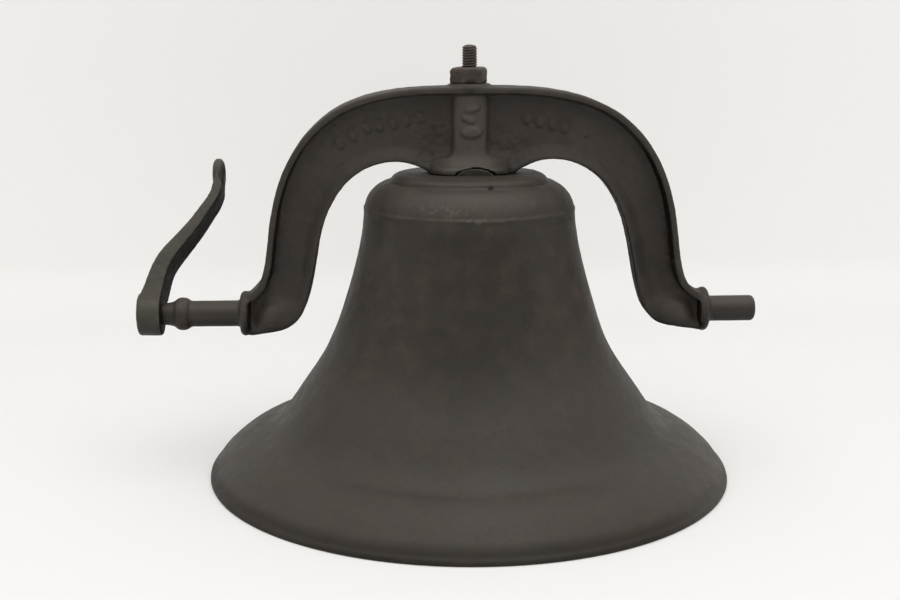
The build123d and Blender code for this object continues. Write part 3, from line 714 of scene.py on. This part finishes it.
def paint_yoke(yoke):
    """Painted highlights on the column, elbows, journal tops and upper left arch; darker on the right leg;
    painted shade in the hollows by the collars and on faces that look into the bays.
    """
    points = coordinates(yoke.data)
    facing = normals(yoke.data)
    side = np.abs(points[:, 0])
    along = points[:, 0] - ARCH_X
    level = points[:, 2]
    depth = np.abs(points[:, 1])
    gap = collar_gap(points)
    # painted highlight on the column, carried a little onto the foot below it
    column = (1 - smooth_step(side, 12 * MM, 32 * MM)) * smooth_step(depth, 8 * MM, 13 * MM)
    column *= 1 - smooth_step(level, 346 * MM, 352 * MM)
    low = 1 - smooth_step(level, 284 * MM, 304 * MM)
    foot = low * (1 - smooth_step(side, 34 * MM, 46 * MM)) * (level > 270 * MM)
    # painted shade in the hollows beside the collars
    hollow = smooth_step(gap, -0.5 * MM, 1 * MM)
    hollow *= 1 - smooth_step(gap - collar_slant(points), 4 * MM, 14 * MM)
    hollow *= 1 - smooth_step(depth, 10 * MM, 15 * MM)
    # painted highlight on the elbows
    elbow = window(gap, (10, 20), (30, 50)) * smooth_step(depth, 8 * MM, 14 * MM) * (level < 200 * MM)
    # painted highlight on the tops of the journals
    journal = smooth_step(-gap, COLLAR_WIDTH, COLLAR_WIDTH + 2 * MM) * smooth_step(facing[:, 2], -0.1, 0.8)
    on_web = depth < 11 * MM
    # painted highlight on the upper left of the arch's web
    arch = smooth_step(-along, 25 * MM, 60 * MM) * smooth_step(level, 240 * MM, 290 * MM) * on_web
    leg = smooth_step(along, 120 * MM, 165 * MM) * smooth_step(level, 165 * MM, 195 * MM) * on_web
    # painted shade on faces that look into the bays
    bay = smooth_step(-facing[:, 0] * np.sign(along), 0.4, 0.8) * (level < 300 * MM)
    tone = 0.7 * column + 0.1 * np.maximum(foot, low * column) + 0.35 * elbow
    # more painted highlight on the lower column
    tone += 0.2 * column * smooth_step(-level, -322 * MM, -298 * MM)
    paint(yoke, tone + 0.5 * journal - 0.35 * hollow + 0.33 * arch - 0.2 * leg - 0.7 * bay)


def make_yoke():
    yoke = object_from_bmesh("yoke_casting", welded_copy("yoke"))
    remesh(yoke, YOKE_VOXEL * 1.1, 0)
    shape_web(yoke)
    add_foot_flare(yoke)
    add_foundry_marks(yoke)
    remesh(yoke, YOKE_VOXEL, 3)
    soften_roots(yoke)
    displace(yoke, CAST_SKIN, 40, yoke_weight(yoke))
    paint_yoke(yoke)
    return yoke


# ---- crank, nut and hanger ----------------------------------------------------------
def round_eye(crank):
    """Round the rope eye's rim right over, from one face to the other."""
    points = coordinates(crank.data)
    rim = CRANK_TOP - ROPE_EYE.z
    out = np.hypot(points[:, 1] - ROPE_EYE.y, points[:, 2] - ROPE_EYE.z) / rim
    share = smooth_step(out, 0.5, 0.8)
    share *= smooth_step(points[:, 2], ROPE_EYE.z - 0.6 * rim, ROPE_EYE.z + 0.2 * rim)
    by_eye = points[out < 1.02, 0]
    middle = (by_eye.min() + by_eye.max()) / 2
    half = EYE_HALF * np.sqrt(np.clip(1 - ((out - 0.5) / 0.52) ** 2, 0.02, 1))
    away = points[:, 0] - middle
    points[:, 0] -= share * (away - np.clip(away, -half, half))
    set_coordinates(crank.data, points)


def paint_crank(crank):
    """Painted shade on the face towards the bell, with a pale worn line along its front edge."""
    points = coordinates(crank.data)
    facing = normals(crank.data)
    eye = smooth_step(points[:, 2], CRANK_TOP - 34 * MM, CRANK_TOP - 24 * MM)
    # painted shade on faces that look towards the bell, less on the eye
    dark = smooth_step(facing[:, 0] - 0.3 * eye, 0.45, 0.7)
    edge = hump(facing[:, 0], 0.38, 0.14) * (facing[:, 1] < -0.3)
    edge *= np.clip(0.6 + 0.9 * lattice_noise(points, 4 * MM, 75), 0, 1)
    paint(crank, 0.9 * edge - 0.92 * dark)


def make_crank():
    crank = remade("crank_arm", "crank_casting", CRANK_VOXEL, 5, CAST_SKIN, 70)
    round_eye(crank)
    paint_crank(crank)
    return crank


def make_nut():
    """A worn square nut: wider than its drawn size, off centre, with its top rounded."""
    nut = remade("yoke_nut", "square_nut", SMALL_VOXEL, 3, FORGED_SKIN, 81)
    points = coordinates(nut.data)
    middle = (NUT_LOW.x + NUT_HIGH.x) / 2
    points[:, 0] = middle - NUT_SHIFT + (points[:, 0] - middle) * NUT_GROWTH
    set_coordinates(nut.data, points)
    relax(nut, smooth_step(points[:, 2], NUT_LOW.z + 4 * MM, NUT_HIGH.z - 2 * MM), 30)
    displace(nut, CRUSTY_SKIN, 80)
    return nut


def make_hanger_fork():
    """The hanger without its threaded top."""
    bm = welded_copy("clapper_hanger")
    cut_by_plane(bm, (0, 0, STUD_START), (0, 0, 1), clear_beyond=True)
    rim = [edge for edge in bm.edges if edge.is_boundary]
    bmesh.ops.holes_fill(bm, edges=rim)
    fork = object_from_bmesh("hanger_fork", bm)
    remesh(fork, SMALL_VOXEL, 3)
    displace(fork, FORGED_SKIN, 50)
    return fork


def thread_radius(z, turned):
    """Radius of the stud at a height and a share of a turn, smooth towards its rounded end."""
    end = max(0.0, 1 - (STUD_TOP - z) / STUD_END)
    phase = ((z - STUD_START) / THREAD_PITCH - turned) % 1.0
    tooth = abs(2 * phase - 1)
    radius = STUD_RADIUS - THREAD_DEPTH * min(1.0, 1.25 * tooth) * (1 - end)
    return radius * math.sqrt(max(0.0, 1 - (0.96 * end) ** 2))


def make_stud_thread():
    """The threaded top of the hanger, from inside the nut to its rounded end."""
    around = 48
    per_turn = 12
    length = STUD_TOP - STUD_START
    rows = int(length / THREAD_PITCH * per_turn)
    bm = bmesh.new()
    rings = []
    for row in range(rows + 1):
        z = STUD_START + length * row / rows
        ring = []
        for step in range(around):
            angle = 2 * math.pi * step / around
            radius = thread_radius(z, step / around)
            ring.append(bm.verts.new((radius * math.cos(angle), radius * math.sin(angle), z)))
        rings.append(ring)
    skin_rings(bm, rings)
    stud = object_from_bmesh("hanger_thread", bm)
    displace(stud, THREAD_SKIN, 60)
    return stud


# ---- materials ----------------------------------------------------------------------
class Nodes:
    """Short calls for wiring one node tree, which is emptied first."""

    def __init__(self, tree):
        self.tree = tree
        tree.nodes.clear()

    def add(self, kind, **values):
        node = self.tree.nodes.new(kind)
        for key, value in values.items():
            setattr(node, key, value)
        return node

    def feed(self, socket, value):
        """Give an input a number, a colour or the output of another node."""
        if isinstance(value, bpy.types.NodeSocket):
            self.tree.links.new(value, socket)
        elif isinstance(value, tuple):
            socket.default_value = (*value, 1.0)
        else:
            socket.default_value = value

    def noise(self, place, scale, detail=4.0, roughness=0.55, distortion=0.0):
        node = self.add("ShaderNodeTexNoise")
        self.feed(node.inputs["Vector"], place)
        self.feed(node.inputs["Scale"], scale)
        self.feed(node.inputs["Detail"], detail)
        self.feed(node.inputs["Roughness"], roughness)
        self.feed(node.inputs["Distortion"], distortion)
        return node.outputs["Fac"]

    def ramp(self, source, low, high, out_low=0.0, out_high=1.0, shape="SMOOTHSTEP"):
        node = self.add("ShaderNodeMapRange", interpolation_type=shape)
        self.feed(node.inputs["Value"], source)
        self.feed(node.inputs["From Min"], low)
        self.feed(node.inputs["From Max"], high)
        self.feed(node.inputs["To Min"], out_low)
        self.feed(node.inputs["To Max"], out_high)
        return node.outputs["Result"]

    def mix(self, factor, first, second):
        node = self.add("ShaderNodeMix", data_type="RGBA")
        self.feed(node.inputs["Factor"], factor)
        self.feed(node.inputs["A"], first)
        self.feed(node.inputs["B"], second)
        return node.outputs["Result"]

    def math(self, operation, first, second):
        node = self.add("ShaderNodeMath", operation=operation)
        self.feed(node.inputs[0], first)
        self.feed(node.inputs[1], second)
        return node.outputs[0]

    def upward(self, vector):
        """The Z part of a vector."""
        node = self.add("ShaderNodeSeparateXYZ")
        self.feed(node.inputs["Vector"], vector)
        return node.outputs["Z"]

    def show(self, shader, kind="ShaderNodeOutputMaterial"):
        """Send a shader to the tree's output."""
        self.feed(self.add(kind).inputs["Surface"], shader)


def new_material(name):
    material = bpy.data.materials.new(name)
    material.use_nodes = True
    return material


def srgb(red, green, blue):
    """Linear colour from 0-255 screen values."""
    return tuple(((channel / 255 + 0.055) / 1.055) ** 2.4 for channel in (red, green, blue))


def mottle(nodes, broad, middle, fine, colours, rust_share):
    """Blotches of dark, base and light iron, with patches and specks of rust."""
    base, dark, light, rust = colours
    colour = nodes.mix(nodes.ramp(broad, 0.34, 0.66), dark, base)
    colour = nodes.mix(nodes.ramp(middle, 0.42, 0.75, 0.0, 0.6), colour, light)
    patch = nodes.math("MULTIPLY", nodes.ramp(middle, 0.45, 0.65), nodes.ramp(broad, 0.60, 0.42))
    colour = nodes.mix(nodes.math("MULTIPLY", patch, rust_share), colour, rust)
    return nodes.mix(nodes.ramp(fine, 0.60, 0.72, 0.0, 0.6), colour, rust)


def wear_and_painted_light(nodes, colour, surface, fine, dark, light, dust_and_top_light):
    """Dust and painted top light on faces that look up, worn edges, darker hollows and corners, and painted
    shade on faces that look down.
    """
    facing_up = nodes.upward(surface.outputs["Normal"])
    # Dust and painted top light: lighter on faces that look up
    colour = nodes.mix(nodes.ramp(facing_up, 0.10, 0.95, 0.0, dust_and_top_light), colour, light)
    edge = surface.outputs["Pointiness"]
    worn = nodes.math("MULTIPLY", nodes.ramp(edge, 0.515, 0.58), nodes.ramp(fine, 0.3, 0.6, 0.4, 0.9))
    colour = nodes.mix(worn, colour, light)
    grime_and_shade = tuple(0.4 * channel for channel in dark)
    # darker in hollows and corners
    colour = nodes.mix(nodes.ramp(edge, 0.49, 0.44, 0.0, 0.7), colour, grime_and_shade)
    # painted shade on faces that look down
    return nodes.mix(nodes.ramp(facing_up, -0.05, -0.65, 0.0, 0.6), colour, grime_and_shade)


def painted(nodes, colour, tone, dark, light):
    """Brighter or darker where the piece's tone attribute says so: painted light and shade, and worn spots.
    """
    # Painted highlights and worn spots take the lighter colour; painted shade takes the darker one.
    worn_and_highlight = tuple(1.3 * channel for channel in light)
    grime_and_shade = tuple(0.4 * channel for channel in dark)
    colour = nodes.mix(nodes.ramp(tone, 0.0, 1.0, 0.0, 0.95), colour, worn_and_highlight)
    return nodes.mix(nodes.ramp(tone, 0.0, -1.0, 0.0, 0.95), colour, grime_and_shade)


def cast_grain(nodes, place, fine, strength):
    """A bumped normal: sand grain and small pits."""
    sand = nodes.noise(place, 1100, 3, 0.6)
    height = nodes.math("ADD", nodes.math("MULTIPLY", fine, 0.55), nodes.math("MULTIPLY", sand, 0.35))
    pit = nodes.ramp(nodes.noise(place, 240, 2, 0.5), 0.34, 0.26, 0.0, -0.8)
    bump = nodes.add("ShaderNodeBump")
    nodes.feed(bump.inputs["Strength"], strength)
    nodes.feed(bump.inputs["Distance"], 0.6 * MM)
    nodes.feed(bump.inputs["Height"], nodes.math("ADD", height, pit))
    return bump.outputs["Normal"]


def iron(name, base, dark, light, rust, rust_share, roughness, grain=1.0, glints=0.0, dust_and_top_light=0.5):
    """Old iron: mottled colour, worn edges, rust patches, pits and a sand-cast grain, with painted top light,
    painted shade underneath, and painted light and shade from its tone.
    """
    material = new_material(name)
    nodes = Nodes(material.node_tree)
    place = nodes.add("ShaderNodeTexCoord").outputs["Object"]
    surface = nodes.add("ShaderNodeNewGeometry")
    tone = nodes.add("ShaderNodeAttribute", attribute_name="tone").outputs["Fac"]
    broad = nodes.noise(place, 9, 5, 0.6, 0.3)
    middle = nodes.noise(place, 60, 5, 0.6)
    fine = nodes.noise(place, 420, 4, 0.6)
    colour = mottle(nodes, broad, middle, fine, (base, dark, light, rust), rust_share)
    colour = wear_and_painted_light(nodes, colour, surface, fine, dark, light, dust_and_top_light)
    glint = nodes.ramp(nodes.noise(place, 330, 2, 0.5), 0.72, 0.80, 0.0, glints)
    colour = nodes.mix(glint, colour, srgb(120, 112, 102))
    colour = painted(nodes, colour, tone, dark, light)
    dull = nodes.ramp(middle, 0.3, 0.7, roughness - 0.07, roughness + 0.07)
    dull = nodes.math("ADD", dull, nodes.ramp(fine, 0.4, 0.7, -0.03, 0.06))
    shader = nodes.add("ShaderNodeBsdfPrincipled")
    nodes.feed(shader.inputs["Base Color"], colour)
    nodes.feed(shader.inputs["Roughness"], dull)
    nodes.feed(shader.inputs["Specular IOR Level"], nodes.ramp(tone, 0.0, -1.0, 0.34, 0.02))
    nodes.feed(shader.inputs["Normal"], cast_grain(nodes, place, fine, 0.55 * grain))
    nodes.show(shader.outputs["BSDF"])
    return material


def make_materials():
    """Every iron of the bell, each from its base, dark, light and rust colours."""
    return {
        "bell_iron": iron("bell_iron", srgb(48, 43, 37), srgb(41, 36, 31), srgb(64, 59, 52),
                          srgb(60, 45, 37), rust_share=0.4, roughness=0.60, grain=0.9, glints=0.15, dust_and_top_light=0.4),
        "yoke_iron": iron("yoke_iron", srgb(53, 47, 42), srgb(42, 37, 33), srgb(65, 60, 54),
                          srgb(58, 45, 37), rust_share=0.4, roughness=0.60, grain=1.4, glints=0.15, dust_and_top_light=0.0),
        "crank_iron": iron("crank_iron", srgb(58, 55, 48), srgb(46, 43, 37), srgb(76, 72, 63),
                           srgb(62, 50, 39), rust_share=0.3, roughness=0.58, glints=0.2),
        "clapper_iron": iron("clapper_iron", srgb(50, 45, 40), srgb(38, 34, 31), srgb(66, 60, 54),
                             srgb(84, 58, 42), rust_share=0.6, roughness=0.62),
        "wrought_iron": iron("wrought_iron", srgb(60, 50, 43), srgb(44, 37, 32), srgb(80, 72, 64),
                             srgb(84, 58, 42), rust_share=0.8, roughness=0.60),
        "rusty_steel": iron("rusty_steel", srgb(60, 52, 46), srgb(40, 34, 30), srgb(88, 80, 72),
                            srgb(76, 52, 40), rust_share=0.7, roughness=0.66, grain=1.4, glints=0.3),
        "ridge_iron": iron("ridge_iron", srgb(50, 48, 34), srgb(34, 32, 26), srgb(62, 58, 44),
                           srgb(54, 48, 34), rust_share=0.5, roughness=0.7),
    }


# ---- stage, light and camera --------------------------------------------------------
def sheet(name, wall, floor, glow, opening):
    """Matt paper, a little darker where it lies flat; clear from behind and under the bell."""
    material = new_material(name)
    nodes = Nodes(material.node_tree)
    surface = nodes.add("ShaderNodeNewGeometry")
    lies_flat = nodes.ramp(nodes.upward(surface.outputs["Normal"]), 0.0, 1.0)
    colour = nodes.mix(lies_flat, wall, floor)
    shader = nodes.add("ShaderNodeBsdfPrincipled")
    nodes.feed(shader.inputs["Base Color"], colour)
    nodes.feed(shader.inputs["Emission Color"], colour)
    nodes.feed(shader.inputs["Roughness"], 0.9)
    nodes.feed(shader.inputs["Specular IOR Level"], 0.1)
    nodes.feed(shader.inputs["Emission Strength"], glow)
    from_middle = nodes.add("ShaderNodeVectorMath", operation="LENGTH")
    nodes.feed(from_middle.inputs[0], surface.outputs["Position"])
    under_bell = nodes.math("LESS_THAN", from_middle.outputs["Value"], opening)
    blend = nodes.add("ShaderNodeMixShader")
    nodes.feed(blend.inputs["Fac"], nodes.math("MAXIMUM", surface.outputs["Backfacing"], under_bell))
    nodes.feed(blend.inputs[1], shader.outputs["BSDF"])
    nodes.feed(blend.inputs[2], nodes.add("ShaderNodeBsdfTransparent").outputs["BSDF"])
    nodes.show(blend.outputs["Shader"])
    return material


def make_stage():
    """A pale sheet that runs along the floor and curves up into a wall."""
    half_width = 4.0
    front = -3.0
    bend_start = 0.42
    bend_radius = 0.10
    bend_steps = 12
    top = 2.6
    below_rim = 0.2 * MM
    wall_tone = (0.84, 0.835, 0.825)
    floor_tone = (0.685, 0.68, 0.675)
    glow = 0.12
    under_rim = 14 * MM             # the sheet reaches this far in, under the bell's rim
    opening = MOUTH_RADIUS - under_rim
    profile = [(front, 0.0), (bend_start, 0.0)]
    for step in range(1, bend_steps + 1):
        angle = math.pi / 2 * step / bend_steps
        profile.append((bend_start + bend_radius * math.sin(angle), bend_radius * (1 - math.cos(angle))))
    profile.append((bend_start + bend_radius, top))
    bm = bmesh.new()
    rows = [[bm.verts.new((x, y, z - below_rim)) for x in (-half_width, half_width)] for y, z in profile]
    for low, high in zip(rows, rows[1:]):
        bm.faces.new((low[0], low[1], high[1], high[0]))
    stage = object_from_bmesh("stage_sheet", bm)
    if stage.data.polygons[0].normal.z < 0:
        stage.data.flip_normals()
    stage.data.materials.append(sheet("pale_sheet", wall_tone, floor_tone, glow, opening))


def make_room():
    """A pale room: bright overhead, dim at eye level, and lit from below into the bell's mouth."""
    world = bpy.data.worlds.new("studio")
    world.use_nodes = True
    nodes = Nodes(world.node_tree)
    level = nodes.upward(nodes.add("ShaderNodeTexCoord").outputs["Generated"])
    above = nodes.ramp(level, 0.05, 0.85, 0.30, 1.5)
    below = nodes.ramp(level, -0.3, -0.9, 0.0, 1.8, "LINEAR")
    light = nodes.math("ADD", above, below)
    seen_by_camera = nodes.add("ShaderNodeLightPath").outputs["Is Camera Ray"]
    background = nodes.add("ShaderNodeBackground")
    nodes.feed(background.inputs["Color"], (1.0, 0.985, 0.965))
    nodes.feed(background.inputs["Strength"], nodes.ramp(seen_by_camera, 0.0, 1.0, light, 0.8, "LINEAR"))
    nodes.show(background.outputs["Background"], "ShaderNodeOutputWorld")
    bpy.context.scene.world = world


def make_lamp():
    """One broad soft lamp above and in front."""
    target = Vector((0, 0, 0.1))
    data = bpy.data.lights.new("lamp_above", "AREA")
    data.shape = "SQUARE"
    data.size = 1.8
    data.energy = 12
    lamp = bpy.data.objects.new("lamp_above", data)
    lamp.location = (0.1, -0.5, 2.2)
    lamp.rotation_euler = (target - lamp.location).to_track_quat("-Z", "Y").to_euler()
    bpy.context.scene.collection.objects.link(lamp)


def make_camera():
    """A camera just above the stud's top, a little to the crank's side, looking slightly down."""
    place = (-0.0773, -1.2228, 0.4275)
    downward = 12.31                # degrees
    to_right = 2.8
    scene = bpy.context.scene
    data = bpy.data.cameras.new("photo_view")
    data.sensor_width = 36
    data.lens = 54.12
    data.clip_start = 0.01
    camera = bpy.data.objects.new("photo_view", data)
    camera.location = place
    camera.rotation_euler = (math.radians(90 - downward), 0, math.radians(-to_right))
    scene.collection.objects.link(camera)
    scene.camera = camera
    scene.view_settings.view_transform = "Standard"


# ---- assembly -----------------------------------------------------------------------
def dress(piece, material, body, node=None):
    """Give a piece its finish and its body, and hide the CAD node that it stands for, if any."""
    piece.data.materials.clear()
    piece.data.materials.append(material)
    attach(piece, body)
    if node:
        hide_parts(node)


def make_pieces(irons):
    dress(make_bell(), irons["bell_iron"], HOUSING, "bell")
    dress(make_crown_ridge(), irons["ridge_iron"], HOUSING)
    dress(make_yoke(), irons["yoke_iron"], HOUSING, "yoke")
    dress(make_crank(), irons["crank_iron"], HOUSING, "crank_arm")
    dress(make_nut(), irons["rusty_steel"], HOUSING, "yoke_nut")
    dress(make_hanger_fork(), irons["wrought_iron"], HOUSING, "clapper_hanger")
    dress(make_stud_thread(), irons["rusty_steel"], HOUSING)
    small = [
        ("crank_washer", "crank_plain_washer", "rusty_steel", 0.5 * MM),
        ("crank_screw", "crank_square_screw", "rusty_steel", 0.5 * MM),
        ("crown_washer", "crown_plain_washer", "rusty_steel", 0.7 * MM),
        ("clapper_pin", "clapper_hinge_pin", "wrought_iron", 0.5 * MM),
        ("clapper_pin_washer", "clapper_plain_washer", "rusty_steel", 0.5 * MM),
        ("clapper_cotter", "clapper_split_pin", "rusty_steel", 0.25 * MM),
    ]
    for seed, (node, name, slot, voxel) in enumerate(small, 90):
        piece = remade(node, name, voxel, 2, SMALL_SKIN, seed)
        dress(piece, irons[slot], HOUSING, node)
    bar = remade("clapper_shank", "clapper_bar", 0.9 * MM, 3, BAR_SKIN, 110)
    dress(bar, irons["wrought_iron"], CLAPPER, "clapper_shank")
    ball = remade("clapper_ball", "clapper_cast_ball", 1.1 * MM, 5, CAST_SKIN, 120)
    dress(ball, irons["clapper_iron"], CLAPPER, "clapper_ball")


make_pieces(make_materials())
make_stage()
make_room()
make_lamp()
make_camera()
